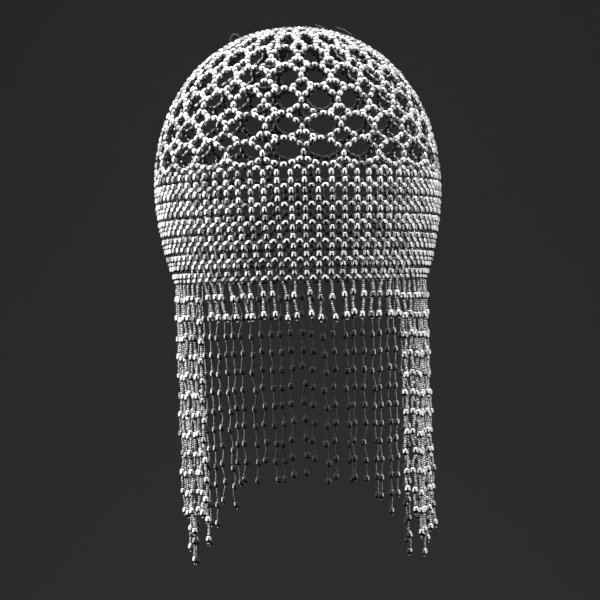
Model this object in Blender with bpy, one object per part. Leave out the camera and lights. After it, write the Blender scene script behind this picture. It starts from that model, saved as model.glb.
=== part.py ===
"""Beaded net headpiece: a crown of diamond net, a woven band and a hanging fringe.

Metres, +Z up. The origin is the inside top of the crown, where it sits on the head. The forehead side
faces -Y, and the wearer's left is +X. Every wall is one bead thick. Beads, seed beads and thread are not
modelled one by one here: the net is cut through in coarser diamonds than the real one, the band is one
solid with its bead rows as ribs, and each strand of the fringe is one strip.
"""
import math

import bmesh
import bpy
from mathutils import Vector

# The cap
BEAD = 0.0035                    # bead diameter, so the thickness of every wall
HALF_WIDTH = 0.0821              # outside, at the widest level
DEPTH_RATIO = 1.19               # front to back against side to side
WIDEST_Z = -0.0897
CROWN_RISE = 0.0932              # from the widest level to the outer top
CROWN_POWER = 2.15               # 2 is an ellipse, more is squarer
TUCK = 0.0091                    # how far the half width draws in towards the lower edge
TUCK_DROP = 0.0498               # drop below the widest level where that much is drawn in
TUCK_POWER = 1.8
GAP = 0.0003                     # clearance between pieces

# The band's rows of beads, whose middles lie at equal steps down the wall
FIRST_ROW_Z = -0.0816
LAST_ROW_Z = -0.1402
ROW_STEPS = 6
GROOVE = 0.0007                  # depth between a row and the upright beads beside it
GROOVE_OFFSET = 0.0021           # from the middle of a row
UPRIGHT_OFFSET = 0.0030          # from the middle of a row to where the upright beads stand full
BAND_SEGMENTS = 45

# The net
NET_COLUMNS = 16
NET_STEPS = 7                    # half diamonds from the band up to the closed top
NET_TOP_SHARE = 0.60             # how much of the crown's rise along the wall is net
RIM_PARTS = 4                    # straight runs of the lowest rim below each opening
TOP_RINGS = 3

# The fringe
COLUMNS = 75                     # upright columns of beads round the band
SHORT_COLUMNS = 20               # of them, those over the forehead, whose strands are short
BACK_COLUMNS = 15
STRAND = 0.0019                  # seed bead diameter, so the width of a strand
FIRST_DROP = 0.0075              # from the lower edge to the middle of a strand's first large bead
BEAD_PITCH = 0.01085             # from one large bead of a strand to the next
BEAD_LENGTH = 0.0042
END_SEED = 0.0019
END_TAPER = 0.8                  # width of a strand's tip against its seed beads
SHORT_BEADS = 2
# Large beads on a strand, by the turn in degrees from the middle of the forehead
LONG_BEADS = (
    # turn, beads
    (0, 15),
    (100, 15),
    (130, 14),
    (140, 12),
    (160, 11),
    (180, 11),
)

ROUND_STEPS = 720                # fine steps that lengths along a curve are summed in
SILVER = (0.80, 0.80, 0.82, 1.0)
SMOKED_SILVER = (0.62, 0.62, 0.66, 1.0)


def clear_scene():
    for item in list(bpy.data.objects):
        bpy.data.objects.remove(item, do_unlink=True)


def silver(name, color, roughness):
    material = bpy.data.materials.new(name)
    material.use_nodes = True
    surface = material.node_tree.nodes["Principled BSDF"]
    surface.inputs["Base Color"].default_value = color
    surface.inputs["Metallic"].default_value = 1.0
    surface.inputs["Roughness"].default_value = roughness
    return material


def even_steps(curve, start, end, count):
    """Parameters from start to end whose points on the curve lie equally far apart."""
    fine = [start + (end - start) * i / ROUND_STEPS for i in range(ROUND_STEPS + 1)]
    lengths = [0.0]
    for before, after in zip(fine, fine[1:]):
        lengths.append(lengths[-1] + (curve(after) - curve(before)).length)
    steps = []
    place = 0
    for i in range(count + 1):
        wanted = lengths[-1] * i / count
        while place < ROUND_STEPS - 1 and lengths[place + 1] < wanted:
            place += 1
        share = (wanted - lengths[place]) / (lengths[place + 1] - lengths[place])
        steps.append(fine[place] + (fine[place + 1] - fine[place]) * share)
    return steps


def crown_profile(rise):
    """Outer half width and height of the crown; rise is 0 at the widest level and pi / 2 at the top."""
    power = 2 / CROWN_POWER
    across = HALF_WIDTH * max(math.cos(rise), 0.0) ** power
    return Vector((across, 0, WIDEST_Z + CROWN_RISE * math.sin(rise) ** power))


def half_width(z):
    """Outer half width of the wall at a height on the band."""
    if z >= WIDEST_Z:
        rise = math.asin(((z - WIDEST_Z) / CROWN_RISE) ** (CROWN_POWER / 2))
        return crown_profile(rise).x
    return HALF_WIDTH - TUCK * ((WIDEST_Z - z) / TUCK_DROP) ** TUCK_POWER


def round_point(across, turn, z, inset=0.0):
    """A point of the wall: turn is 0 at the forehead and grows towards +X."""
    return Vector((
        (across - inset) * math.sin(turn),
        -(across * DEPTH_RATIO - inset) * math.cos(turn),
        z,
    ))


def even_turns(count, z):
    """Turns that part the wall's outline at a height into equal lengths, once round from the forehead."""
    across = half_width(z)
    return even_steps(lambda turn: round_point(across, turn, z), 0.0, 2 * math.pi, count)


def finish(name, bm, material):
    bmesh.ops.recalc_face_normals(bm, faces=bm.faces)
    mesh = bpy.data.meshes.new(name)
    bm.to_mesh(mesh)
    bm.free()
    mesh.materials.append(material)
    mesh.set_sharp_from_angle(angle=math.radians(35))
    item = bpy.data.objects.new(name, mesh)
    bpy.context.scene.collection.objects.link(item)
    return item


def into_crown(point, rim_z):
    """The way from a point of the crown straight into its wall, level at the rim."""
    across = math.hypot(point.x, point.y / DEPTH_RATIO)
    if across == 0:
        return Vector((0, 0, -1))
    steep = (across / HALF_WIDTH) ** (CROWN_POWER - 1) / HALF_WIDTH / across
    rise = ((point.z - WIDEST_Z) / CROWN_RISE) ** (CROWN_POWER - 1) / CROWN_RISE
    level = point.z < rim_z + GAP
    return -Vector((point.x * steep, point.y * steep / DEPTH_RATIO ** 2, 0 if level else rise)).normalized()


def thicken(bm, rim_z):
    """Make the sheet one bead thick: an inner copy of each face, and a wall along each open edge."""
    inner = {vert: bm.verts.new(vert.co + into_crown(vert.co, rim_z) * BEAD) for vert in list(bm.verts)}
    edges = [edge.verts[:] for edge in bm.edges if edge.is_boundary]
    for face in list(bm.faces):
        bm.faces.new([inner[vert] for vert in reversed(face.verts)])
    for start, end in edges:
        bm.faces.new([start, end, inner[end], inner[start]])


def crown_net(material):
    """The diamond net, from a thin rim on the band up to the closed top."""
    rim_z = FIRST_ROW_Z + BEAD / 2 + GAP
    rim_rise = math.asin(((rim_z - WIDEST_Z) / CROWN_RISE) ** (CROWN_POWER / 2))
    rises = even_steps(crown_profile, rim_rise, math.pi / 2, ROUND_STEPS)
    turns = even_turns(NET_COLUMNS * RIM_PARTS, WIDEST_Z)
    bm = bmesh.new()
    made = {}

    def wall(column, share):
        """The point at a column, counted in diamonds, and a share of the way up the wall."""
        key = (round(column * RIM_PARTS) % (NET_COLUMNS * RIM_PARTS), round(share * ROUND_STEPS))
        if key not in made:
            profile = crown_profile(rises[key[1]])
            made[key] = bm.verts.new(round_point(profile.x, turns[key[0]], profile.z))
        return made[key]

    def node(column, step):
        """A crossing of the net, counted in half diamonds up the wall."""
        return wall(column, NET_TOP_SHARE * step / NET_STEPS)

    openings = []
    for column in range(NET_COLUMNS):
        # The half diamond that the rim closes from below
        rim = [node(column + i / RIM_PARTS, 0) for i in range(RIM_PARTS + 1)]
        openings.append(bm.faces.new(rim + [node(column + 0.5, 1)]))
        for step in range(1, NET_STEPS):
            middle = column + (0.5 if step % 2 == 0 else 0.0)
            openings.append(bm.faces.new([
                node(middle, step - 1), node(middle + 0.5, step),
                node(middle, step + 1), node(middle - 0.5, step),
            ]))
    bm.normal_update()
    bmesh.ops.inset_individual(bm, faces=openings, thickness=BEAD / 2, use_even_offset=True)
    bmesh.ops.delete(bm, geom=openings, context="FACES")

    # The closed top: the last row of half diamonds, rings, and the middle
    ring = [node(i / 2, NET_STEPS) for i in range(2 * NET_COLUMNS)]
    first = 1 if NET_STEPS % 2 == 0 else 0
    for i in range(first, len(ring), 2):
        bm.faces.new([node(i / 2, NET_STEPS - 1), ring[(i + 1) % len(ring)], ring[i], ring[i - 1]])
    for level in range(1, TOP_RINGS):
        share = NET_TOP_SHARE + (1 - NET_TOP_SHARE) * level / TOP_RINGS
        upper = [wall(i / 2, share) for i in range(2 * NET_COLUMNS)]
        for i, corner in enumerate(ring):
            after = (i + 1) % len(ring)
            bm.faces.new([corner, ring[after], upper[after], upper[i]])
        ring = upper
    top = bm.verts.new((0, 0, WIDEST_Z + CROWN_RISE))
    for i, corner in enumerate(ring):
        bm.faces.new([corner, ring[(i + 1) % len(ring)], top])

    thicken(bm, rim_z)
    return finish("crown_net", bm, material)


def row_z(row):
    return FIRST_ROW_Z + (LAST_ROW_Z - FIRST_ROW_Z) * row / ROW_STEPS


def band(material):
    """The woven band as one ring, with its rows of beads and the upright beads between them as ribs."""
    top = FIRST_ROW_Z + BEAD / 2
    bottom = LAST_ROW_Z + BEAD / 2 + GAP
    outside = [(top, GROOVE)]
    for row in range(ROW_STEPS):
        middle = row_z(row)
        below = row_z(row + 1)
        outside += [
            (middle, 0.0),
            (middle - GROOVE_OFFSET, GROOVE),
            (middle - UPRIGHT_OFFSET, 0.0),
            (below + UPRIGHT_OFFSET, 0.0),
            (max(below + GROOVE_OFFSET, bottom), GROOVE),
        ]
    inside = [(bottom, BEAD), (row_z(4), BEAD), (row_z(2), BEAD), (top, BEAD)]
    profile = outside + inside
    turns = even_turns(BAND_SEGMENTS, WIDEST_Z)[:-1]
    bm = bmesh.new()
    loops = [[bm.verts.new(round_point(half_width(z), turn, z, inset)) for z, inset in profile]
             for turn in turns]
    for i, loop in enumerate(loops):
        after = loops[(i + 1) % len(loops)]
        for k in range(len(profile)):
            m = (k + 1) % len(profile)
            bm.faces.new([loop[k], loop[m], after[m], after[k]])
    return finish("band", bm, material)


def short_beads(turn):
    """How many large beads a strand over the forehead has, whatever its turn."""
    return SHORT_BEADS


def long_beads(turn):
    """How many large beads the strand at a turn has, beside and behind the head."""
    degrees = abs(math.degrees(math.atan2(math.sin(turn), math.cos(turn))))
    for (low, low_beads), (high, high_beads) in zip(LONG_BEADS, LONG_BEADS[1:]):
        if degrees <= high:
            return round(low_beads + (high_beads - low_beads) * (degrees - low) / (high - low))
    return LONG_BEADS[-1][1]


def strand_rings(beads):
    """Drops and half widths down a strand. A short one has all its large beads, a long one only the last."""
    narrow = STRAND / 2
    wide = BEAD / 2
    rings = [(0.0, narrow)]
    shaped = range(beads) if beads == SHORT_BEADS else [beads - 1]
    for bead in shaped:
        middle = FIRST_DROP + bead * BEAD_PITCH
        rings += [
            (middle - BEAD_LENGTH / 2, narrow),
            (middle - BEAD_LENGTH / 4, wide),
            (middle + BEAD_LENGTH / 4, wide),
            (middle + BEAD_LENGTH / 2, narrow),
        ]
    rings.append((FIRST_DROP + (beads - 1) * BEAD_PITCH + BEAD_LENGTH / 2 + END_SEED, narrow * END_TAPER))
    return rings


def strand(bm, head, turn, beads):
    """A four-sided strip that hangs straight down from a face of the head, given by its corners."""
    across = half_width(LAST_ROW_Z)
    middle = round_point(across, turn, LAST_ROW_Z - BEAD / 2, BEAD / 2)
    outward = (round_point(across, turn, 0) - round_point(across, turn, 0, BEAD)).normalized()
    along = Vector((-outward.y, outward.x, 0))
    upper = head
    for drop, half in strand_rings(beads):
        place = middle - Vector((0, 0, drop))
        lower = [bm.verts.new(place + (outward * out + along * side) * half)
                 for out, side in ((1, -1), (-1, -1), (-1, 1), (1, 1))]
        for k in range(4):
            m = (k + 1) % 4
            bm.faces.new([upper[k], upper[m], lower[m], lower[k]])
        upper = lower
    bm.faces.new(upper)


def fringe(name, first, count, beads_at, material):
    """The lowest row of beads over a run of columns, with a strand under each.

    Columns are counted from the middle of the forehead towards +X, and those before it are negative.
    """
    top = LAST_ROW_Z + BEAD / 2
    bottom = LAST_ROW_Z - BEAD / 2
    across = half_width(LAST_ROW_Z)
    turns = even_turns(2 * COLUMNS, LAST_ROW_Z)
    edges = [turns[2 * column % (2 * COLUMNS)] for column in range(first, first + count + 1)]
    clearance = GAP / 2 / across
    edges[0] += clearance
    edges[-1] -= clearance
    corners = ((top, 0.0), (bottom, 0.0), (bottom, BEAD), (top, BEAD))
    bm = bmesh.new()
    loops = [[bm.verts.new(round_point(across, turn, z, inset)) for z, inset in corners] for turn in edges]
    bm.faces.new(loops[0])
    bm.faces.new(loops[-1])
    for i, (before, after) in enumerate(zip(loops, loops[1:])):
        for k in (0, 2, 3):
            m = (k + 1) % 4
            bm.faces.new([before[k], before[m], after[m], after[k]])
        turn = turns[(2 * (first + i) + 1) % (2 * COLUMNS)]
        strand(bm, [before[1], before[2], after[2], after[1]], turn, beads_at(turn))
    return finish(name, bm, material)


def main():
    clear_scene()
    net_silver = silver("net silver", SILVER, 0.16)
    band_silver = silver("band silver", SILVER, 0.20)
    fringe_silver = silver("fringe silver", SMOKED_SILVER, 0.22)
    crown_net(net_silver)
    band(band_silver)
    half = SHORT_COLUMNS // 2
    side = (COLUMNS - SHORT_COLUMNS - BACK_COLUMNS) // 2
    fringe("forehead_fringe", -half, SHORT_COLUMNS, short_beads, fringe_silver)
    fringe("left_fringe", half, side, long_beads, fringe_silver)
    fringe("back_fringe", half + side, BACK_COLUMNS, long_beads, fringe_silver)
    fringe("right_fringe", -half - side, side, long_beads, fringe_silver)


main()
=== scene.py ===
"""The looks of a beaded net headpiece: each bead, seed bead and run of thread, its finish, and the studio.

Metres, +Z up. The forehead side faces -Y and the wearer's left is +X. Columns of beads are counted from
the middle of the forehead towards +X: upright beads lie on half columns and level ones on whole columns.
"""
import bisect
import math
import random

import bpy
from bpy.props import FloatProperty, FloatVectorProperty, IntProperty, PointerProperty
from mathutils import Matrix, Vector


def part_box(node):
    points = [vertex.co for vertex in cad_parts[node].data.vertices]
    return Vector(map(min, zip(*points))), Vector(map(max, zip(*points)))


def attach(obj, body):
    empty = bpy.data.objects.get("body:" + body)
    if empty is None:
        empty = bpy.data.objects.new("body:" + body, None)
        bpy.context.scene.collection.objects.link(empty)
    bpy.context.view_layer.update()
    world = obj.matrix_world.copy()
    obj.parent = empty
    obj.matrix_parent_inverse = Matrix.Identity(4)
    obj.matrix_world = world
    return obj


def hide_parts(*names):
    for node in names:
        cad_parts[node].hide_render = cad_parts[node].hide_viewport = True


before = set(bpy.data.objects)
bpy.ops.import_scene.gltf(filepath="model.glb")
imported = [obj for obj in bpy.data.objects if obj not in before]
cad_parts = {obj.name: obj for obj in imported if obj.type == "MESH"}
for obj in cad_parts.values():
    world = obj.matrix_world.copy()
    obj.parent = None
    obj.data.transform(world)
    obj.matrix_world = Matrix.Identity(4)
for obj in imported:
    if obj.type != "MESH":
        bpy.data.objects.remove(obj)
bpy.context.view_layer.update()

bl_info = {
    "name": "Beaded Net Headpiece",
    "version": (1, 0, 0),
    "blender": (4, 5, 0),
    "location": "View3D > Sidebar > Headpiece",
    "description": "Strings a net cap of silvered beads with a beaded fringe",
    "category": "Add Mesh",
}

BODY = "root"
NET_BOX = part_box("crown_net")
BAND_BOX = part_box("band")
FOREHEAD_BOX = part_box("forehead_fringe")
MILLIMETRES = 1000               # in a metre

# The pieces. A piece's place in this row, counted from 1, starts its random draws.
PIECES = ("net_beads", "crown_top_beads", "band_beads",
          "forehead_strands", "left_strands", "back_strands", "right_strands")

# The form of the cap, as its solids have it
WIDEST_Z = -0.0897
CROWN_POWER = 2.15               # 2 is an ellipse, more is squarer
TUCK = 0.0091                    # how far the half width draws in towards the lower edge
TUCK_DROP = 0.0498               # drop below the widest level where that much is drawn in
TUCK_POWER = 1.8
FINE_STEPS = 720                 # fine steps that lengths along a curve are summed in
COLUMN_STEP = 0.2                # half the span, in columns, that a direction round the cap is taken over
ARC_STEP = 0.0005                # the same up the wall

# The weave
COLUMNS = 75
ROW_STEPS = 6                    # steps from the first row of level beads to the last
UPRIGHTS = 2                     # upright beads between two rows
DIAMOND = 3                      # columns under each diamond of the net
FIRST_CROSSING = -1              # column of one of the net's level crossing beads
TAN_COLUMN = -2                  # the one bead of the lowest row that has another colour
CROSSING_RISE = 0.0007           # from a row's level to where the threads of its crossings meet

# Crossings of the net, up the wall from the widest level at the forehead
NET_ARCS = (0.0097, 0.0158, 0.0237, 0.0307, 0.0381, 0.0458, 0.0548, 0.0629, 0.0712)
SIDE_BEADS = 2                   # beads on each side of a diamond
HIGH_ROWS = 5                    # further rows with as many beads on a side
TOP_ROWS = 1                     # rows above them, with one bead on a side
SIDE_SLACK = 0.0002              # spare thread for each bead of a side
SIDE_SAMPLES = 16                # steps that a side's curve is drawn in
THREAD_STRIDE = 4                # of those steps to each run of its thread
SIDE_REACH = 0.33                # of a side's length, over which it eases out of a crossing bead
LEAVING_SLOPE = 0.78             # of a side's thread where it leaves an upright crossing bead
ARRIVING_SLOPE = 0.40            # and where it reaches a level one
TOP_RING_STEP = 0.0077           # between the rings that close the top
RING_SLACK = 3 * SIDE_SLACK      # spare thread for each bead of a ring
SMALLEST_RING = 4                # beads
WARP_START = 0.02                # arc over which the net's unevenness grows to its full size
COLUMN_WARP = 0.10               # how far the net is pulled sideways, in columns
ARC_WARP = 0.0005                # how far it is pulled up or down
# Waves of that unevenness: how many go round the cap, and the millimetres up the wall to each radian
COLUMN_WAVES = ((11, 7), (17, -5))
ARC_WAVES = ((13, 9), (7, -4))

# Loose thread that stands up from the crown, in X and Z
LOOSE_THREADS = (
    ((-0.0366, -0.0052), (-0.0363, -0.0012), (-0.0345, 0.0009), (-0.0320, 0.0006), (-0.0303, -0.0022)),
    ((0.0126, 0.0053), (0.0150, 0.0042), (0.0180, 0.0030)),
    ((0.0245, 0.0033), (0.0285, 0.0020), (0.0330, -0.0010)),
)

# The fringe
SHORT_COLUMNS = 20
BACK_COLUMNS = 15
SHORT_BEADS = 2
# How far the end of each short strand has drifted along the rim, in millimetres
SHORT_DRIFTS = (4.4, 2.4, 2.7, 3.0, 3.9, 0.8, 2.9, 1.4, 2.6, 0.3,
                1.9, 1.0, 1.7, 1.6, 1.3, -1.3, -1.6, -2.4, -1.3, -1.3)
SHORT_EASE = 0.75                # a short strand's drift grows as this power of the drop
LONG_EASE = 1.2                  # the same for a long strand
# Large beads on each long strand, in the order of the columns
LONG_BEADS = {
    "left": (11, 12, 13, 13, 13, 13, 12, 12, 13, 13, 13, 15, 14, 14, 13, 15, 14, 12, 13, 12),
    "back": (12, 11, 11, 11, 11, 11, 10, 11, 11, 11, 11, 10, 11, 11, 11),
    "right": (12, 12, 13, 13, 14, 12, 15, 15, 14, 13, 12, 11, 11, 12, 12, 13, 13, 12, 12, 13),
}
SHORT_SEEDS_ABOVE = 5            # seed beads over the first large one of a short strand
LONG_SEEDS_ABOVE = 6
TOP_EXTRAS = (-1, 0, 0, 0, 0, 0, 1)      # more or fewer seed beads at a strand's top, drawn by chance
GAP_EXTRAS = (-1, *[0] * 14, 1)          # and in each gap below
DEPTH_LEANS = (-1.5, 0.4)        # range of a strand's drift outwards, against the fringe's lean
WAVE_SIZES = (0.5, 1.0)          # range of the small waves, against the fringe's sway
WAVE_LENGTHS = (0.016, 0.040)
HANG_START = 1e-5                # the smallest drop that is raised to a power
HANG_STEP = 0.001                # half the span that a strand's direction is taken over

# What a point of a guide carries
THREAD_ONLY, BEAD, SEED = 0, 1, 2

# A bead's form: its width at the ends against the middle, how late it narrows, and the sides of its section
BEAD_FORM = (0.34, 1.6, 12)
SEED_FORM = (0.25, 1.9, 8)
BEAD_RINGS = 4                   # rings of faces along a bead
RING_SPACING = 0.35              # below 1 the rings crowd towards the ends
RIM_RADIUS = 0.5                 # of the radius: nearer the axis lie only the middles of the ends
DIMPLE = 0.28                    # depth of the dimple at the hole, against half the length
THREAD_SIDES = 4

# The random draws of each bead. A draw's place in this row is added to the piece's seed.
DRAWS = ("tilt x", "tilt y", "spin", "size", "shift x", "shift y", "shift z", "tint")

# Share of smoke in the darkest bead, and the power that keeps most beads bright
BEAD_DARKNESS = (0.8, 3.0)
SEED_DARKNESS = (0.7, 2.0)
PATCH_DARKNESS = 0.12            # share of smoke in a dulled patch
PATCH_SCALE = 420.0              # noise cells to a metre
PATCH_DETAIL = 3.0
TINT_ROUGHNESS = 0.05            # extra roughness of the darkest beads
INNER_ROUGHNESS = 0.35           # extra roughness on the side that faces into the cap, under the painted shade

# The thread: the colour of its dull streaks, and where its roughness and cover start and how far they range
STREAK_SCALE = 900.0
STREAK_COLOUR = (0.08, 0.08, 0.085)
THREAD_ROUGHNESS = (0.18, 0.2)
THREAD_COVER = (0.3, 0.4)

# How squarely a bead's surface faces out of the cap where its painted shade ends and where it has none
OUTER_START = -0.65
OUTER_FULL = 0.20
AXIS_EASE = 0.01                 # keeps the painted shade mostly off the middle of the crown

# The studio's panels: turn in degrees from the forehead, height, distance from the cap's axis, and size
LAMPS = {
    "left": (79, 0.06, 0.72, (2.2, 1.8)),
    "right": (-79, 0.06, 0.72, (2.2, 1.8)),
    "top": (0, 0.95, 0.25, (1.7, 1.3)),
    "back": (180, 0.3, 1.5, (0.9, 0.9)),
}
LAMP_TARGET_Z = -0.12

# The floor and the sweep that it rises into
FLOOR_FRONT = -2.6
FLOOR_HALF_WIDTH = 3.0
BEND_START = 1.2
BEND_RADIUS = 0.9
BEND_STEPS = 16
SWEEP_TOP = 2.6
POOL_RADIUS = (0.35, 0.85)       # where the painted pool of light on the floor starts and ends its fade into the painted shade of the sweep
FLOOR_ROUGHNESS = 0.9

SENSOR_WIDTH = 36.0              # of the camera, in millimetres
NEAREST = 0.01                   # distance from the camera that is still drawn


class BeadSizes(bpy.types.PropertyGroup):
    """Sizes of the beads and the thread"""
    bead_diameter: FloatProperty(name="Bead Diameter", description="Across a large bead",
                                 default=0.0036, min=0.0005, precision=5, unit="LENGTH")
    bead_length: FloatProperty(name="Bead Length", description="Along the hole of a large bead",
                               default=0.0042, min=0.0005, precision=5, unit="LENGTH")
    seed_diameter: FloatProperty(name="Seed Diameter", description="Across a seed bead",
                                 default=0.0015, min=0.0003, precision=5, unit="LENGTH")
    seed_length: FloatProperty(name="Seed Length", description="Along the hole of a seed bead",
                               default=0.00112, min=0.0003, precision=5, unit="LENGTH")
    thread_diameter: FloatProperty(name="Thread Diameter", description="Across the clear thread",
                                   default=0.00032, min=0.00005, precision=5, unit="LENGTH")
    spread: FloatProperty(name="Size Spread", description="How much beads differ in size",
                          default=0.05, min=0.0, max=0.3, subtype="FACTOR")
    tilt: FloatProperty(name="Tilt", description="How far a bead may lean off its thread",
                        default=math.radians(7), min=0.0, subtype="ANGLE", unit="ROTATION")
    shift: FloatProperty(name="Shift", description="How far a bead may sit off its place",
                         default=0.00015, min=0.0, precision=5, unit="LENGTH")


class FringeLayout(bpy.types.PropertyGroup):
    """How the strands of the fringe are strung and how they hang"""
    first_drop: FloatProperty(name="First Drop", description="From the lower edge to the first large bead",
                              default=0.0075, precision=5, unit="LENGTH")
    long_drop: FloatProperty(name="Long Drop", description="The same for a long strand",
                             default=0.0090, precision=5, unit="LENGTH")
    pitch: FloatProperty(name="Pitch", description="From one large bead to the next",
                         default=0.01085, precision=5, unit="LENGTH")
    seeds: IntProperty(name="Seeds", description="Seed beads between two large ones", default=6, min=1)
    lean: FloatProperty(name="Lean", description="How far a long strand's end may drift sideways",
                        default=0.0024, precision=5, unit="LENGTH")
    sway: FloatProperty(name="Sway", description="Half width of a strand's small waves",
                        default=0.0006, precision=5, unit="LENGTH")
    slope: FloatProperty(name="Slope", description="Lean of the whole fringe towards +X",
                         default=math.radians(0.6), subtype="ANGLE", unit="ROTATION")
    random_seed: IntProperty(name="Random Seed", description="Start of the random drift", default=11)


class Finishes(bpy.types.PropertyGroup):
    """Colours and polish of the beads and the thread"""
    silver: FloatVectorProperty(name="Silver", description="Mirror coating of the beads",
                                default=(0.45, 0.45, 0.46), subtype="COLOR", min=0.0, max=1.0)
    seed_silver: FloatVectorProperty(name="Seed Silver", description="Mirror coating of the seed beads",
                                     default=(0.42, 0.42, 0.43), subtype="COLOR", min=0.0, max=1.0)
    smoke: FloatVectorProperty(name="Smoke", description="Darkest of the coated beads",
                               default=(0.06, 0.06, 0.068), subtype="COLOR", min=0.0, max=1.0)
    tan: FloatVectorProperty(name="Tan", description="The one odd bead",
                             default=(0.34, 0.25, 0.18), subtype="COLOR", min=0.0, max=1.0)
    thread: FloatVectorProperty(name="Thread", description="Clear thread",
                                default=(0.26, 0.26, 0.27), subtype="COLOR", min=0.0, max=1.0)
    # Painted shade, not a tarnish: the dark colour painted on the side of each bead that faces into the
    # cap.
    inner: FloatVectorProperty(name="Inner Side", description="Tarnish on the side that faces into the cap",
                               default=(0.03, 0.03, 0.034), subtype="COLOR", min=0.0, max=1.0)
    polish: FloatProperty(name="Polish", description="Roughness of the brightest beads",
                          default=0.035, min=0.0, max=1.0, subtype="FACTOR")
    wear: FloatProperty(name="Wear", description="Roughness that handling adds in patches",
                        default=0.10, min=0.0, max=1.0, subtype="FACTOR")


class Studio(bpy.types.PropertyGroup):
    """The floor, the lamps and the camera"""
    floor_z: FloatProperty(name="Floor Height", description="Height of the floor",
                           default=-0.90, unit="LENGTH")
    # Painted pool of light and painted shade: the floor is painted pale near the headpiece and the sweep
    # dark away from it.
    painted_pool_colour: FloatVectorProperty(name="Floor", description="Colour of the floor by the lamps",
                                      default=(0.28, 0.28, 0.29), subtype="COLOR", min=0.0, max=1.0)
    painted_shade_colour: FloatVectorProperty(name="Backdrop", description="Colour of the sweep away from the lamps",
                                  default=(0.0094, 0.0094, 0.0113), subtype="COLOR", min=0.0, max=1.0)
    room: FloatVectorProperty(name="Room", description="Colour of the dim room",
                              default=(0.006, 0.006, 0.007), subtype="COLOR", min=0.0, max=1.0)
    left_light: FloatProperty(name="Left Light", description="Brightness of the left panel", default=1.7)
    right_light: FloatProperty(name="Right Light", description="Brightness of the right panel",
                               default=2.75)
    top_light: FloatProperty(name="Top Light", description="Brightness of the panel above", default=6.5)
    back_light: FloatProperty(name="Back Light", description="Brightness of the panel behind", default=0.35)
    distance: FloatProperty(name="Camera Distance", description="From the camera to the cap's middle",
                            default=1.30, unit="LENGTH")
    camera_x: FloatProperty(name="Camera Offset", description="How far the camera stands off the middle",
                            default=-0.00014, unit="LENGTH", precision=5)
    camera_z: FloatProperty(name="Camera Height", description="Height of the level camera",
                            default=-0.1521, unit="LENGTH")
    lens: FloatProperty(name="Lens", description="Focal length in millimetres", default=136.4)
    roll: FloatProperty(name="Roll", description="Turn of the camera about its view",
                        default=math.radians(1.4), subtype="ANGLE", unit="ROTATION")


class HeadpieceSettings(bpy.types.PropertyGroup):
    """All that can be changed on the headpiece"""
    beads: PointerProperty(type=BeadSizes)
    fringe: PointerProperty(type=FringeLayout)
    finishes: PointerProperty(type=Finishes)
    studio: PointerProperty(type=Studio)


class Signal:
    """A number in a node tree. Arithmetic on it adds the Math nodes that work it out."""

    def __init__(self, nodes, socket):
        self.nodes = nodes
        self.socket = socket

    def math(self, operation, *terms):
        node = self.nodes.add("ShaderNodeMath", {"operation": operation}, list(terms))
        return Signal(self.nodes, node.outputs[0])

    def __add__(self, other):
        return self.math("ADD", self, other)

    def __radd__(self, other):
        return self.math("ADD", other, self)

    def __sub__(self, other):
        return self.math("SUBTRACT", self, other)

    def __rsub__(self, other):
        return self.math("SUBTRACT", other, self)

    def __mul__(self, other):
        return self.math("MULTIPLY", self, other)

    def __rmul__(self, other):
        return self.math("MULTIPLY", other, self)

    def __truediv__(self, other):
        return self.math("DIVIDE", self, other)

    def __rtruediv__(self, other):
        return self.math("DIVIDE", other, self)

    def __pow__(self, other):
        return self.math("POWER", self, other)

    def __abs__(self):
        return self.math("ABSOLUTE", self)

    def sign(self):
        return self.math("SIGN", self)

    def above(self, other):
        return self.math("GREATER_THAN", self, other)


class Nodes:
    """A node tree that is filled by calls: a node's settings first, then its sockets."""

    def __init__(self, tree):
        self.tree = tree

    def add(self, kind, settings=None, sockets=None):
        node = self.tree.nodes.new(kind)
        for name, value in (settings or {}).items():
            setattr(node, name, value)
        given = dict(enumerate(sockets)) if isinstance(sockets, list) else (sockets or {})
        for key, value in given.items():
            self.feed(self.socket(node.inputs, key), value)
        return node

    def socket(self, sockets, key):
        if isinstance(key, int):
            return sockets[key]
        return next(socket for socket in sockets if socket.name == key and socket.enabled)

    def feed(self, socket, value):
        if isinstance(value, Signal):
            value = value.socket
        if isinstance(value, bpy.types.NodeSocket):
            self.tree.links.new(value, socket)
        else:
            socket.default_value = value

    def out(self, node, key=0):
        return Signal(self, self.socket(node.outputs, key))

    def parts(self, vector):
        apart = self.add("ShaderNodeSeparateXYZ", None, [vector])
        return [self.out(apart, i) for i in range(3)]


def bead_shape(nodes, diameter, length, end_width, roundness, sides):
    """A bead along Z, full at the middle, with a dimple at each end for its hole."""
    drum = nodes.add("GeometryNodeMeshCylinder", {"fill_type": "TRIANGLE_FAN"}, {
        "Vertices": sides, "Side Segments": BEAD_RINGS, "Fill Segments": 1, "Radius": 1.0, "Depth": 2.0})
    x, y, z = nodes.parts(nodes.add("GeometryNodeInputPosition").outputs[0])
    height = abs(z)
    width = diameter / 2 * (1 - (1 - end_width) * height ** roundness)
    on_rim = (x * x + y * y).above(RIM_RADIUS ** 2)
    rise = z.sign() * (height ** RING_SPACING) * length / 2 * (1 - DIMPLE + DIMPLE * on_rim)
    moved = nodes.add("ShaderNodeCombineXYZ", None, [x * width, y * width, rise])
    shaped = nodes.add("GeometryNodeSetPosition", None, {
        "Geometry": drum.outputs["Mesh"], "Position": moved.outputs[0]})
    smooth = nodes.add("GeometryNodeSetShadeSmooth", None, {0: shaped.outputs[0]})
    return smooth.outputs[0]


def attribute(nodes, name, kind):
    node = nodes.add("GeometryNodeInputNamedAttribute", {"data_type": kind}, {"Name": name})
    return nodes.out(node, "Attribute")


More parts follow.
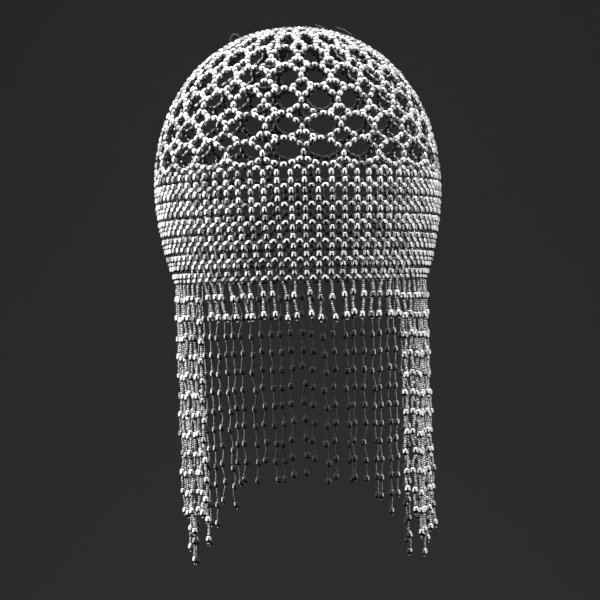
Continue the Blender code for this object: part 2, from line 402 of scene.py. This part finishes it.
def beads_on(nodes, guide, kind, shape, material, tilt, spread, shift, seed):
    """A bead at each point of the guide that has this kind, with its hole along the thread."""
    def draw(purpose, low, high):
        node = nodes.add("FunctionNodeRandomValue", {"data_type": "FLOAT"}, {
            "Min": low, "Max": high, "Seed": seed + DRAWS.index(purpose)})
        return nodes.out(node, "Value")

    wanted = nodes.add("FunctionNodeCompare", {"data_type": "INT", "operation": "EQUAL"}, {
        "A": attribute(nodes, "kind", "INT"), "B": kind})
    along = nodes.add("FunctionNodeAlignRotationToVector", {"axis": "Z"}, {
        "Vector": attribute(nodes, "hole", "FLOAT_VECTOR")})
    lean = nodes.add("ShaderNodeCombineXYZ", None, [
        draw("tilt x", -1.0, 1.0) * tilt, draw("tilt y", -1.0, 1.0) * tilt, draw("spin", 0.0, math.tau)])
    turned = nodes.add("FunctionNodeEulerToRotation", None, [lean.outputs[0]])
    rotation = nodes.add("FunctionNodeRotateRotation", {"rotation_space": "LOCAL"}, [
        along.outputs[0], turned.outputs[0]])
    drift = nodes.add("ShaderNodeCombineXYZ", None, [
        draw("shift " + axis, -1.0, 1.0) * shift for axis in "xyz"])
    placed = nodes.add("GeometryNodeSetPosition", None, {"Geometry": guide, "Offset": drift.outputs[0]})
    strung = nodes.add("GeometryNodeInstanceOnPoints", None, {
        "Points": placed.outputs[0], "Selection": wanted.outputs[0], "Instance": shape,
        "Rotation": rotation.outputs[0], "Scale": 1 + draw("size", -1.0, 1.0) * spread})
    tinted = nodes.add("GeometryNodeStoreNamedAttribute", {"data_type": "FLOAT", "domain": "INSTANCE"}, {
        "Geometry": strung.outputs[0], "Name": "tint", "Value": draw("tint", 0.0, 1.0)})
    real = nodes.add("GeometryNodeRealizeInstances", None, {"Geometry": tinted.outputs[0]})
    coated = nodes.add("GeometryNodeSetMaterial", None, {"Geometry": real.outputs[0], "Material": material})
    return coated.outputs[0]


def stringing_tree():
    """Geometry nodes that turn a guide of points and edges into beads, seed beads and thread."""
    tree = bpy.data.node_groups.new("Strung Beads", "GeometryNodeTree")
    face = tree.interface
    face.new_socket(name="Geometry", in_out="OUTPUT", socket_type="NodeSocketGeometry")
    face.new_socket(name="Guide", in_out="INPUT", socket_type="NodeSocketGeometry")
    for name in ("Bead Diameter", "Bead Length", "Seed Diameter", "Seed Length", "Thread Diameter",
                 "Tilt", "Size Spread", "Shift"):
        face.new_socket(name=name, in_out="INPUT", socket_type="NodeSocketFloat")
    face.new_socket(name="Random Seed", in_out="INPUT", socket_type="NodeSocketInt")
    for name in ("Bead Material", "Seed Material", "Thread Material"):
        face.new_socket(name=name, in_out="INPUT", socket_type="NodeSocketMaterial")
    nodes = Nodes(tree)
    given = nodes.add("NodeGroupInput")
    value = {socket.name: Signal(nodes, socket) for socket in given.outputs if socket.name}
    shared = (value["Tilt"], value["Size Spread"], value["Shift"], value["Random Seed"])
    bead = bead_shape(nodes, value["Bead Diameter"], value["Bead Length"], *BEAD_FORM)
    seed = bead_shape(nodes, value["Seed Diameter"], value["Seed Length"], *SEED_FORM)
    curve = nodes.add("GeometryNodeMeshToCurve", None, [value["Guide"]])
    section = nodes.add("GeometryNodeCurvePrimitiveCircle", {"mode": "RADIUS"},
                        {"Resolution": THREAD_SIDES, "Radius": value["Thread Diameter"] / 2})
    tube = nodes.add("GeometryNodeCurveToMesh", None,
                     {"Curve": curve.outputs[0], "Profile Curve": section.outputs[0], "Fill Caps": True})
    round_tube = nodes.add("GeometryNodeSetShadeSmooth", None, {0: tube.outputs[0]})
    thread = nodes.add("GeometryNodeSetMaterial", None,
                       {"Geometry": round_tube.outputs[0], "Material": value["Thread Material"]})
    joined = nodes.add("GeometryNodeJoinGeometry")
    for part in (
        thread.outputs[0],
        beads_on(nodes, value["Guide"], SEED, seed, value["Seed Material"], *shared),
        beads_on(nodes, value["Guide"], BEAD, bead, value["Bead Material"], *shared),
    ):
        tree.links.new(part, joined.inputs[0])
    nodes.add("NodeGroupOutput", None, [joined.outputs[0]])
    return tree


class Guide:
    """Places of beads and runs of thread, gathered before they become one piece."""

    def __init__(self):
        self.places = []
        self.holes = []
        self.kinds = []
        self.tones = []
        self.edges = []

    def point(self, place, hole=Vector((0, 0, 1)), kind=THREAD_ONLY, tone=0.0):
        self.places.append(place)
        self.holes.append(hole)
        self.kinds.append(kind)
        self.tones.append(tone)
        return len(self.places) - 1

    def bead(self, place, hole, kind=BEAD, tone=0.0):
        self.point(place, hole, kind, tone)

    def thread(self, *places):
        run = [self.point(place) for place in places]
        self.edges += list(zip(run, run[1:]))

    def mesh(self, name):
        mesh = bpy.data.meshes.new(name)
        mesh.from_pydata(self.places, self.edges, [])
        for title, kind, values in (("kind", "INT", self.kinds), ("tone", "FLOAT", self.tones)):
            mesh.attributes.new(title, kind, "POINT").data.foreach_set("value", values)
        holes = [part for hole in self.holes for part in hole]
        mesh.attributes.new("hole", "FLOAT_VECTOR", "POINT").data.foreach_set("vector", holes)
        return mesh


def settings():
    return bpy.context.scene.headpiece


def seed_of(piece):
    return PIECES.index(piece) + 1


def make_piece(name, guide, node):
    """String the guide's beads and thread as one plain mesh that stands for this node."""
    beads = settings().beads
    finishes = settings().finishes
    item = bpy.data.objects.new(name, guide.mesh(name + " guide"))
    bpy.context.scene.collection.objects.link(item)
    modifier = item.modifiers.new("Strung Beads", "NODES")
    modifier.node_group = bpy.data.node_groups.get("Strung Beads") or stringing_tree()
    values = {
        "Bead Diameter": beads.bead_diameter,
        "Bead Length": beads.bead_length,
        "Seed Diameter": beads.seed_diameter,
        "Seed Length": beads.seed_length,
        "Thread Diameter": beads.thread_diameter,
        "Tilt": beads.tilt,
        "Size Spread": beads.spread,
        "Shift": beads.shift,
        "Random Seed": seed_of(name),
        "Bead Material": silvered("silvered bead", finishes.silver, *BEAD_DARKNESS),
        "Seed Material": silvered("silvered seed bead", finishes.seed_silver, *SEED_DARKNESS),
        "Thread Material": clear_thread(),
    }
    for socket in modifier.node_group.interface.items_tree:
        if socket.in_out == "INPUT" and socket.name in values:
            modifier[socket.identifier] = values[socket.name]
    bpy.context.view_layer.update()
    depsgraph = bpy.context.evaluated_depsgraph_get()
    mesh = bpy.data.meshes.new_from_object(
        item.evaluated_get(depsgraph), preserve_all_data_layers=True, depsgraph=depsgraph)
    mesh.name = name
    item.modifiers.clear()
    item.data = mesh
    if not mesh.polygons:
        raise RuntimeError(f"{name} has no beads")
    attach(item, BODY)
    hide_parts(node)


def new_material(name):
    """A new material with its surface and its node tree."""
    material = bpy.data.materials.new(name)
    material.use_nodes = True
    return material, material.node_tree.nodes["Principled BSDF"], Nodes(material.node_tree)


def blend(nodes, share, first, second):
    """A colour between two others, each of them plain or worked out by nodes."""
    first, second = (part if isinstance(part, Signal) else (*part, 1.0) for part in (first, second))
    mixed = nodes.add("ShaderNodeMix", {"data_type": "RGBA"}, {"Factor": share, "A": first, "B": second})
    return nodes.out(mixed, "Result")


def outward_unshaded_share(nodes, place, normal):
    """1 where a bead faces out of the cap and 0 where it faces in: the share kept clear of the shade
    painted on the inner side.
    """
    x, y, _ = nodes.parts(place)
    facing_x, facing_y, _ = nodes.parts(normal)
    out = (facing_x * x + facing_y * y) / ((x * x + y * y) ** 0.5 + AXIS_EASE)
    share = nodes.add("ShaderNodeMapRange", {"interpolation_type": "SMOOTHSTEP"}, {
        "Value": out, "From Min": OUTER_START, "From Max": OUTER_FULL})
    return nodes.out(share, "Result")


def silvered(name, coating, darkest, power):
    """Mirror coating over round beads, darker on some, dulled in patches, with shade painted on the side
    that faces into the cap.
    """
    found = bpy.data.materials.get(name)
    if found:
        return found
    finishes = settings().finishes
    material, surface, nodes = new_material(name)
    surface.inputs["Metallic"].default_value = 1.0
    coordinates = nodes.add("ShaderNodeTexCoord")
    place = coordinates.outputs["Object"]
    tint = nodes.out(nodes.add("ShaderNodeAttribute", {"attribute_name": "tint"}), "Fac")
    tone = nodes.out(nodes.add("ShaderNodeAttribute", {"attribute_name": "tone"}), "Fac")
    patches = nodes.out(nodes.add("ShaderNodeTexNoise", None, {
        "Vector": place, "Scale": PATCH_SCALE, "Detail": PATCH_DETAIL}))
    coated = blend(nodes, darkest * tint ** power + PATCH_DARKNESS * patches, coating, finishes.smoke)
    colour = blend(nodes, tone, coated, finishes.tan)
    # Painted shade: the base colour turns dark on the side of each bead that faces into the cap, and the
    # roughness rises with it.
    out = outward_unshaded_share(nodes, place, coordinates.outputs["Normal"])
    nodes.feed(surface.inputs["Base Color"], blend(nodes, out, finishes.inner, colour))
    worn = finishes.polish + finishes.wear * patches * patches
    nodes.feed(surface.inputs["Roughness"], worn + TINT_ROUGHNESS * tint + INNER_ROUGHNESS * (1 - out))
    return material


def clear_thread():
    """Clear thread that catches the light along its edge."""
    found = bpy.data.materials.get("clear thread")
    if found:
        return found
    material, surface, nodes = new_material("clear thread")
    place = nodes.add("ShaderNodeTexCoord").outputs["Object"]
    streaks = nodes.out(nodes.add("ShaderNodeTexNoise", None, {"Vector": place, "Scale": STREAK_SCALE}))
    colour = blend(nodes, streaks, settings().finishes.thread, STREAK_COLOUR)
    nodes.feed(surface.inputs["Base Color"], colour)
    for title, (least, span) in (("Roughness", THREAD_ROUGHNESS), ("Alpha", THREAD_COVER)):
        nodes.feed(surface.inputs[title], least + span * streaks)
    return material


def lengths_along(points):
    sums = [0.0]
    for before, after in zip(points, points[1:]):
        sums.append(sums[-1] + (after - before).length)
    return sums


def read_between(keys, values, key):
    """The value at a key, read between the entries of a rising list of keys and of their values."""
    place = min(max(bisect.bisect_right(keys, key) - 1, 0), len(keys) - 2)
    share = (key - keys[place]) / (keys[place + 1] - keys[place])
    return values[place] + (values[place + 1] - values[place]) * share


def waves(kinds, around, arc):
    """Smooth waves that run round the crown and up it, added up."""
    return sum(math.sin(number * around + arc * MILLIMETRES / climb) for number, climb in kinds)


class Cap:
    """The surface that the middles of the cap's beads lie on."""

    def __init__(self, bead_diameter):
        inset = bead_diameter / 2
        self.width = BAND_BOX[1].x - inset
        self.depth = BAND_BOX[1].y - inset
        self.rise = NET_BOX[1].z - WIDEST_Z - inset
        self.first_row = BAND_BOX[1].z - inset
        self.last_row = FOREHEAD_BOX[1].z - inset
        self.slope = settings().fringe.slope
        self.turns = [math.tau * i / FINE_STEPS for i in range(FINE_STEPS + 1)]
        rim = lengths_along([
            Vector((self.width * math.sin(turn), self.depth * math.cos(turn))) for turn in self.turns])
        self.girth = rim[-1]
        self.shares = [part / self.girth for part in rim]
        self.rises = [math.pi / 2 * i / FINE_STEPS for i in range(FINE_STEPS + 1)]
        self.arcs = lengths_along([self.front(rise) for rise in self.rises])

    def front(self, rise):
        """Depth and height of the crown's outline, at an angle that rises from 0 at the widest level."""
        power = 2 / CROWN_POWER
        return Vector((self.depth * max(math.cos(rise), 0.0) ** power,
                       WIDEST_Z + self.rise * math.sin(rise) ** power))

    def turn(self, column):
        """The ellipse's angle at a column, with the columns evenly spaced round the rim."""
        return read_between(self.shares, self.turns, column / COLUMNS % 1.0)

    def fullness(self, arc):
        """Size of the crown's outline at an arc, against the widest."""
        return self.front(read_between(self.arcs, self.rises, arc)).x / self.depth

    def crown(self, column, arc):
        """A point of the crown; arc is the length up the wall from the widest level at the forehead."""
        loose = min(max(arc, 0.0) / WARP_START, 1.0)
        around = math.tau * column / COLUMNS
        column += COLUMN_WARP * loose * waves(COLUMN_WAVES, around, arc)
        arc = min(arc + ARC_WARP * loose * waves(ARC_WAVES, around, arc), self.arcs[-1])
        out, z = self.front(read_between(self.arcs, self.rises, arc))
        turn = self.turn(column)
        return Vector((out * self.width / self.depth * math.sin(turn), -out * math.cos(turn), z))

    def wall(self, column, z):
        """A point of the band."""
        turn = self.turn(column)
        if z > WIDEST_Z:
            full = (1 - ((z - WIDEST_Z) / self.rise) ** CROWN_POWER) ** (1 / CROWN_POWER)
            across, deep = self.width * full, self.depth * full
        else:
            tuck = TUCK * ((WIDEST_Z - z) / TUCK_DROP) ** TUCK_POWER
            across = self.width - tuck
            deep = self.depth - tuck * self.depth / self.width
        drift = max(self.first_row - z, 0.0) * math.tan(self.slope)
        return Vector((across * math.sin(turn) + drift, -deep * math.cos(turn), z))

    def pitch(self, arc):
        """Length of one column at an arc of the crown."""
        return self.girth * self.fullness(arc) / COLUMNS

    def row(self, number):
        """Height of a row of level beads, counted down from the first."""
        return self.first_row + (self.last_row - self.first_row) * number / ROW_STEPS


def way(point, start, step):
    """The direction in which a function of one number moves."""
    return (point(start + step) - point(start - step)).normalized()


def net_arcs(cap, beads):
    """Arcs of the net's crossings, and how many beads lie on each side between them."""
    arcs = list(NET_ARCS)
    counts = [SIDE_BEADS] * (len(arcs) - 1)
    half = beads.bead_length / 2
    for count in [SIDE_BEADS] * HIGH_ROWS + [1] * TOP_ROWS:
        side = count * (beads.bead_length + SIDE_SLACK)
        level = max(cap.pitch(arcs[-1] + half) * DIAMOND / 2 - half, 0.0)
        arcs.append(arcs[-1] + half + math.sqrt(max(side * side - level * level, half * half)))
        counts.append(count)
    return arcs, counts


def diamond_side(guide, cap, upright, level, direction, beads, count):
    """One side of a diamond, eased from the end of an upright crossing bead to that of a level one."""
    half = beads.bead_length / 2
    rise = 1 if level[1] > upright[1] else -1
    pitch = cap.pitch((upright[1] + level[1]) / 2)
    start = Vector((upright[0] * pitch, upright[1] + rise * half))
    end = Vector((level[0] * pitch - direction * half, level[1]))
    reach = (end - start).length * SIDE_REACH
    first = start + Vector((direction, rise * LEAVING_SLOPE)).normalized() * reach
    last = end - Vector((direction, rise * ARRIVING_SLOPE)).normalized() * reach
    samples = []
    for i in range(SIDE_SAMPLES + 1):
        t = i / SIDE_SAMPLES
        flat = (start * (1 - t) ** 3 + first * 3 * t * (1 - t) ** 2
                + last * 3 * t * t * (1 - t) + end * t ** 3)
        samples.append(cap.crown(flat.x / pitch, flat.y))
    sums = lengths_along(samples)
    step = min(beads.bead_length + SIDE_SLACK, sums[-1] / count)
    for i in range(count):
        wanted = sums[-1] / 2 + (i - (count - 1) / 2) * step
        place = read_between(sums, samples, wanted)
        before = read_between(sums, samples, max(wanted - half, 0.0))
        after = read_between(sums, samples, min(wanted + half, sums[-1]))
        guide.bead(place, (after - before).normalized())
    guide.thread(*samples[::THREAD_STRIDE])


def net_rows(cap, guide, beads, first, last):
    """Crossings of the net from one row to another, with the sides that lead up to each."""
    arcs, counts = net_arcs(cap, beads)
    half_diamond = DIAMOND / 2
    for row in range(first, last + 1):
        level = row % 2 == 0
        for diamond in range(COLUMNS // DIAMOND):
            column = FIRST_CROSSING + DIAMOND * diamond + (0 if level else half_diamond)
            arc = arcs[row]
            place = cap.crown(column, arc)
            along = way(lambda c: cap.crown(c, arc), column, COLUMN_STEP)
            up = way(lambda a: cap.crown(column, a), arc, ARC_STEP)
            guide.bead(place, along if level else up)
            if row == 0:
                continue
            for direction in (-1, 1):
                other = (column + direction * half_diamond, arcs[row - 1])
                if level:
                    diamond_side(guide, cap, other, (column, arc), -direction, beads, counts[row - 1])
                else:
                    diamond_side(guide, cap, (column, arc), other, direction, beads, counts[row - 1])


class HEADPIECE_OT_net(bpy.types.Operator):
    """String the diamond net of the crown"""
    bl_idname = "headpiece.net"
    bl_label = "Diamond Net"

    def execute(self, context):
        beads = settings().beads
        guide = Guide()
        net_rows(Cap(beads.bead_diameter), guide, beads, 0, len(NET_ARCS) - 1)
        make_piece("net_beads", guide, "crown_net")
        return {"FINISHED"}


class HEADPIECE_OT_top(bpy.types.Operator):
    """Close the net over the top of the crown"""
    bl_idname = "headpiece.top"
    bl_label = "Crown Top"

    def execute(self, context):
        beads = settings().beads
        cap = Cap(beads.bead_diameter)
        guide = Guide()
        arcs, _ = net_arcs(cap, beads)
        net_rows(cap, guide, beads, len(NET_ARCS), len(arcs) - 1)
        arc = arcs[-1]
        middle = cap.arcs[-1]
        spokes = COLUMNS // DIAMOND
        phase = FIRST_CROSSING + DIAMOND / 2
        while middle - arc > TOP_RING_STEP:
            upper = arc + TOP_RING_STEP
            for i in range(spokes):
                column = phase + COLUMNS * i / spokes
                halfway = (arc + upper) / 2
                up = way(lambda a: cap.crown(column, a), halfway, ARC_STEP)
                guide.bead(cap.crown(column, halfway), up)
                guide.thread(cap.crown(column, arc), cap.crown(column, upper))
            girth = cap.girth * cap.fullness(upper)
            ring = max(round(girth / (beads.bead_length + RING_SLACK)), SMALLEST_RING)
            for i in range(ring):
                column = phase + COLUMNS * (i + 0.5) / ring
                along = way(lambda c: cap.crown(c, upper), column, COLUMN_STEP)
                guide.bead(cap.crown(column, upper), along)
            guide.thread(*[cap.crown(phase + COLUMNS * i / ring, upper) for i in range(ring + 1)])
            spokes = ring
            arc = upper
        guide.bead(cap.crown(0, middle), Vector((0, 0, 1)))
        for run in LOOSE_THREADS:
            guide.thread(*[Vector((x, 0, z)) for x, z in run])
        make_piece("crown_top_beads", guide, "crown_net")
        return {"FINISHED"}


def level_row(guide, cap, number, columns, skip=()):
    """Level beads of one row, but for the columns to skip, where the net has its own."""
    z = cap.row(number)
    for column in columns:
        if column % COLUMNS in skip:
            continue
        along = way(lambda c: cap.wall(c, z), column, COLUMN_STEP)
        tone = 1.0 if number == ROW_STEPS and column == TAN_COLUMN else 0.0
        guide.bead(cap.wall(column, z), along, tone=tone)


def crossing(guide, cap, column, z, beads, above, below):
    """The threads that cross between four beads on an upright column."""
    half = beads.bead_length / 2
    middle = cap.wall(column, z)
    along = way(lambda c: cap.wall(c, z), column, COLUMN_STEP)
    half_pitch = (cap.wall(column + 0.5, z) - cap.wall(column - 0.5, z)).length / 2
    ends = [middle + along * side * (half_pitch - half) for side in (-1, 1)]
    for rise, wanted in ((1, above), (-1, below)):
        if wanted:
            upright = cap.wall(column, z + rise * CROSSING_RISE)
            for end in ends:
                guide.thread(upright, end)


class HEADPIECE_OT_band(bpy.types.Operator):
    """Weave the ladder band under the net"""
    bl_idname = "headpiece.band"
    bl_label = "Woven Band"

    def execute(self, context):
        beads = settings().beads
        cap = Cap(beads.bead_diameter)
        guide = Guide()
        crossings = {(FIRST_CROSSING + DIAMOND * i) % COLUMNS for i in range(COLUMNS // DIAMOND)}
        for row in range(ROW_STEPS):
            level_row(guide, cap, row, range(COLUMNS), crossings if row == 0 else ())
            top, bottom = cap.row(row), cap.row(row + 1)
            for k in range(COLUMNS):
                column = k + 0.5
                for i in range(UPRIGHTS):
                    z = (top + bottom) / 2 + ((UPRIGHTS - 1) / 2 - i) * (beads.bead_length + SIDE_SLACK)
                    up = way(lambda height: cap.wall(column, height), z, ARC_STEP)
                    guide.bead(cap.wall(column, z), up)
                crossing(guide, cap, column, top, beads, row > 0, True)
        make_piece("band_beads", guide, "band")
        return {"FINISHED"}


def strand(guide, cap, column, count, first_drop, seeds_above, drift, ease, draw):
    """One strand of seed beads with large ones between them, that hangs from the lowest row."""
    beads = settings().beads
    layout = settings().fringe
    top = cap.wall(column, cap.last_row) - Vector((0, 0, beads.bead_diameter / 2))
    along = way(lambda c: cap.wall(c, cap.last_row), column, COLUMN_STEP)
    outward = Vector((along.y, -along.x, 0))
    gap = (layout.pitch - beads.bead_length) / layout.seeds
    half = beads.bead_length / 2
    extra = draw.choice(TOP_EXTRAS)
    first_drop += extra * gap
    seeds = [layout.seeds + draw.choice(GAP_EXTRAS) for _ in range(count - 1)] + [1]
    middles = [first_drop]
    for number in seeds[:-1]:
        middles.append(middles[-1] + beads.bead_length + number * gap)
    length = middles[-1]
    end = along * drift + outward * draw.uniform(*DEPTH_LEANS) * layout.lean
    swings = [
        (direction * draw.uniform(*WAVE_SIZES), draw.uniform(*WAVE_LENGTHS), draw.uniform(0, math.tau))
        for direction in (along, along, outward)]

    def hang(drop):
        drop = max(drop, HANG_START)
        swing = sum((size * math.sin(math.tau * drop / reach + phase) for size, reach, phase in swings),
                    Vector())
        fade = min(drop / first_drop, 1.0)
        return (top - Vector((0, 0, drop)) + end * (drop / length) ** ease + swing * layout.sway * fade
                + Vector((drop * math.tan(layout.slope), 0, 0)))

    def string(drop, kind):
        guide.bead(hang(drop), way(hang, drop, HANG_STEP), kind)

    for i in range(seeds_above + extra):
        string(first_drop - half - gap * (i + 0.5), SEED)
    for middle, number in zip(middles, seeds):
        string(middle, BEAD)
        for i in range(number):
            string(middle + half + gap * (i + 0.5), SEED)
    steps = [layout.pitch * i / 2 for i in range(2 * count)]
    guide.thread(*[hang(drop) for drop in steps if drop < length])


def fringe(name, first, count, cap):
    """The lowest row of level beads over a run of columns, with a strand after each bead."""
    beads = settings().beads
    layout = settings().fringe
    draw = random.Random(layout.random_seed + seed_of(name + "_strands"))
    guide = Guide()
    level_row(guide, cap, ROW_STEPS, range(first, first + count))
    for i in range(count):
        column = first + i + 0.5
        crossing(guide, cap, column, cap.last_row, beads, True, True)
        if name == "forehead":
            strand(guide, cap, column, SHORT_BEADS, layout.first_drop, SHORT_SEEDS_ABOVE,
                   SHORT_DRIFTS[i] / MILLIMETRES, SHORT_EASE, draw)
        else:
            strand(guide, cap, column, LONG_BEADS[name][i], layout.long_drop, LONG_SEEDS_ABOVE,
                   layout.lean * draw.uniform(-1, 1), LONG_EASE, draw)
    return guide


class HEADPIECE_OT_fringe(bpy.types.Operator):
    """Hang the strands of the fringe"""
    bl_idname = "headpiece.fringe"
    bl_label = "Fringe"

    def execute(self, context):
        cap = Cap(settings().beads.bead_diameter)
        half = SHORT_COLUMNS // 2
        side_columns = (COLUMNS - SHORT_COLUMNS - BACK_COLUMNS) // 2
        runs = (
            ("forehead", -half, SHORT_COLUMNS),
            ("left", half, side_columns),
            ("back", half + side_columns, BACK_COLUMNS),
            ("right", -half - side_columns, side_columns),
        )
        for name, first, count in runs:
            guide = fringe(name, first, count, cap)
            make_piece(name + "_strands", guide, name + "_fringe")
        return {"FINISHED"}


def studio_material(name, near, far):
    """Matt, with a pool of light painted pale around the headpiece and shade painted darker out of it."""
    material, surface, nodes = new_material(name)
    x, y, _ = nodes.parts(nodes.add("ShaderNodeTexCoord").outputs["Object"])
    distance = (x * x + y * y) ** 0.5
    # Painted pool of light: the colour fades from pale to dark with distance from the cap's axis.
    fade = nodes.add("ShaderNodeMapRange", {"interpolation_type": "SMOOTHERSTEP"}, {
        "Value": distance, "From Min": POOL_RADIUS[0], "From Max": POOL_RADIUS[1]})
    nodes.feed(surface.inputs["Base Color"], blend(nodes, nodes.out(fade, "Result"), near, far))
    surface.inputs["Roughness"].default_value = FLOOR_ROUGHNESS
    return material


def lamp(name, turn, height, distance, size, brightness):
    """A soft panel at a turn in degrees from the forehead, that faces the cap's middle."""
    target = Vector((0, 0, LAMP_TARGET_Z))
    turn = math.radians(turn)
    place = Vector((math.sin(turn) * distance, -math.cos(turn) * distance, height))
    light = bpy.data.lights.new(name, "AREA")
    light.shape = "RECTANGLE"
    light.size, light.size_y = size
    light.energy = brightness * math.pi * size[0] * size[1]
    item = bpy.data.objects.new(name, light)
    item.location = place
    item.rotation_euler = (target - place).to_track_quat("-Z", "Y").to_euler()
    item.visible_camera = False
    bpy.context.scene.collection.objects.link(item)


class HEADPIECE_OT_stage(bpy.types.Operator):
    """Set up the floor, the lamps and the camera"""
    bl_idname = "headpiece.stage"
    bl_label = "Studio"

    def execute(self, context):
        studio = settings().studio
        profile = [(FLOOR_FRONT, studio.floor_z), (BEND_START, studio.floor_z)]
        for i in range(1, BEND_STEPS + 1):
            angle = math.pi / 2 * i / BEND_STEPS
            profile.append((BEND_START + BEND_RADIUS * math.sin(angle),
                            studio.floor_z + BEND_RADIUS * (1 - math.cos(angle))))
        profile.append((BEND_START + BEND_RADIUS, SWEEP_TOP))
        points = [(x, y, z) for y, z in profile for x in (-FLOOR_HALF_WIDTH, FLOOR_HALF_WIDTH)]
        faces = [(2 * i, 2 * i + 1, 2 * i + 3, 2 * i + 2) for i in range(len(profile) - 1)]
        mesh = bpy.data.meshes.new("floor")
        mesh.from_pydata(points, [], faces)
        mesh.shade_smooth()
        mesh.materials.append(studio_material("studio floor", studio.painted_pool_colour, studio.painted_shade_colour))
        floor = bpy.data.objects.new("floor", mesh)
        context.scene.collection.objects.link(floor)
        floor.visible_glossy = False
        for name, placing in LAMPS.items():
            lamp(name + " lamp", *placing, getattr(studio, name + "_light"))
        world = bpy.data.worlds.new("studio room")
        world.use_nodes = True
        world.node_tree.nodes["Background"].inputs["Color"].default_value = (*studio.room, 1.0)
        context.scene.world = world
        context.scene.view_settings.view_transform = "Standard"
        camera = bpy.data.objects.new("camera", bpy.data.cameras.new("camera"))
        camera.data.lens = studio.lens
        camera.data.sensor_width = SENSOR_WIDTH
        camera.data.clip_start = NEAREST
        camera.matrix_world = (
            Matrix.Translation((studio.camera_x, -studio.distance, studio.camera_z))
            @ Matrix.Rotation(math.pi / 2, 4, "X") @ Matrix.Rotation(-studio.roll, 4, "Z"))
        context.scene.collection.objects.link(camera)
        context.scene.camera = camera
        return {"FINISHED"}


class HEADPIECE_PT_panel(bpy.types.Panel):
    """The headpiece's operators and sizes"""
    bl_label = "Beaded Net Headpiece"
    bl_idname = "HEADPIECE_PT_panel"
    bl_space_type = "VIEW_3D"
    bl_region_type = "UI"
    bl_category = "Headpiece"

    def draw(self, context):
        for operator in OPERATORS:
            self.layout.operator(operator.bl_idname)
        for group in ("beads", "fringe", "finishes", "studio"):
            box = self.layout.box()
            box.label(text=group.capitalize())
            values = getattr(context.scene.headpiece, group)
            for name in values.__annotations__:
                box.prop(values, name)


OPERATORS = (
    HEADPIECE_OT_net,
    HEADPIECE_OT_top,
    HEADPIECE_OT_band,
    HEADPIECE_OT_fringe,
    HEADPIECE_OT_stage,
)
CLASSES = (BeadSizes, FringeLayout, Finishes, Studio, HeadpieceSettings, *OPERATORS, HEADPIECE_PT_panel)


def register():
    for item in CLASSES:
        bpy.utils.register_class(item)
    bpy.types.Scene.headpiece = PointerProperty(type=HeadpieceSettings)


def unregister():
    del bpy.types.Scene.headpiece
    for item in reversed(CLASSES):
        bpy.utils.unregister_class(item)


def main():
    register()
    bpy.ops.headpiece.net()
    bpy.ops.headpiece.top()
    bpy.ops.headpiece.band()
    bpy.ops.headpiece.fringe()
    bpy.ops.headpiece.stage()


if __name__ == "__main__":
    main()
